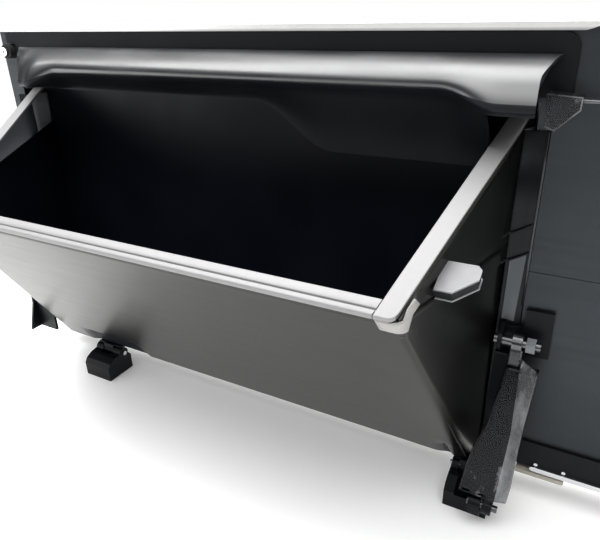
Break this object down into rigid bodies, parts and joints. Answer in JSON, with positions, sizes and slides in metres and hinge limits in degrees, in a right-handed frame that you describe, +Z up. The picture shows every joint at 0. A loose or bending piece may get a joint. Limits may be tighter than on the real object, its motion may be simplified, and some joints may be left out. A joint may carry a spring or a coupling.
{
  "type": "trash compactor loading door with hopper",
  "caption": "Tilt-out loading door of a trash compactor, seen from inside, with its sheet-metal hopper, liner, hood, strut and hinge feet.",
  "frame": {"origin": "middle of the right hinge foot's underside", "axes": "+Z up, -Y towards the hopper side, +X to the right of someone facing the hopper"},
  "size_m": [0.928, 0.259, 0.526],
  "materials": {
    "stainless": "bright brushed stainless sheet",
    "satin_steel": "satin sheet steel",
    "bright_steel": "plated steel",
    "aluminium": "satin anodised",
    "liner_plastic": "smooth dark moulded",
    "textured_plastic": "fine moulded texture",
    "black_plastic": "matt black",
    "clear_plastic": "smoky translucent, scuffed",
    "beige_plastic": "plain",
    "black_cast": "black powder coat",
    "rubber": "matt"
  },
  "bodies": {
    "feet": {"foot_left": "black_cast", "foot_right": "black_cast", "hinge_pin_left": "bright_steel", "hinge_pin_right": "bright_steel", "strut_pin": "bright_steel"},
    "door": {"outer_skin": "stainless", "inner_panel_upper": "satin_steel", "inner_panel_lower": "satin_steel", "hood_backplate": "black_plastic", "hood_shell": "textured_plastic", "hood_end_rib": "black_plastic", "hopper_shell": "satin_steel", "hopper_liner": "liner_plastic", "rim_left": "aluminium", "rim_right": "aluminium", "rim_front": "aluminium", "jamb_strip": "bright_steel", "sill_strip": "black_plastic", "sill_lip": "stainless", "sill_screw_1": "bright_steel", "sill_screw_2": "bright_steel", "drip_rail": "beige_plastic", "bumper_cup_left": "rubber", "bumper_cup_right": "rubber", "bumper_stud_left": "bright_steel", "bumper_stud_right": "bright_steel", "side_stop_left": "black_cast", "rod_guide": "clear_plastic", "bolt_guide": "black_cast", "hinge_leaf_left": "black_cast", "hinge_leaf_right": "black_cast", "strut_plate": "black_plastic", "strut_stud": "bright_steel", "strut_nut": "bright_steel"},
    "strut_tube": {"strut_tube": "black_cast", "strut_sleeve": "clear_plastic"},
    "strut_rod": {"strut_rod": "bright_steel"},
    "latch": {"latch_rod": "bright_steel", "latch_bolt": "bright_steel"},
    "liner_catch": {"catch_top_plate": "aluminium", "catch_core": "black_plastic", "catch_bottom_plate": "aluminium"}
  },
  "joints": [
    {"name": "door_tilt", "type": "hinge", "parent": "feet", "child": "door", "pos_m": [0, 0.016, 0.034], "axis": [-1, 0, 0], "range_deg": [0, 30]},
    {"name": "strut_swing", "type": "hinge", "parent": "feet", "child": "strut_tube", "pos_m": [0.026, -0.03, 0.03], "axis": [-1, 0, 0], "range_deg": [0, 27]},
    {"name": "strut_slide", "type": "slide", "parent": "strut_tube", "child": "strut_rod", "axis": [0, 0.2816, 0.9595], "range_m": [0, 0.0203]},
    {"name": "latch_slide", "type": "slide", "parent": "door", "child": "latch", "axis": [-1, 0, 0], "range_m": [0, 0.012], "stiffness_N_per_m": 250, "springref_m": -0.01},
    {"name": "catch_slide", "type": "slide", "parent": "door", "child": "liner_catch", "axis": [0, 0.8789, 0.477], "range_m": [0, 0.012]}
  ],
  "couplings": [
    {"joint": "strut_swing", "follows": "door_tilt", "ratio": 0.879},
    {"joint": "strut_slide", "follows": "door_tilt", "m_per_rad": 0.0384}
  ]
}
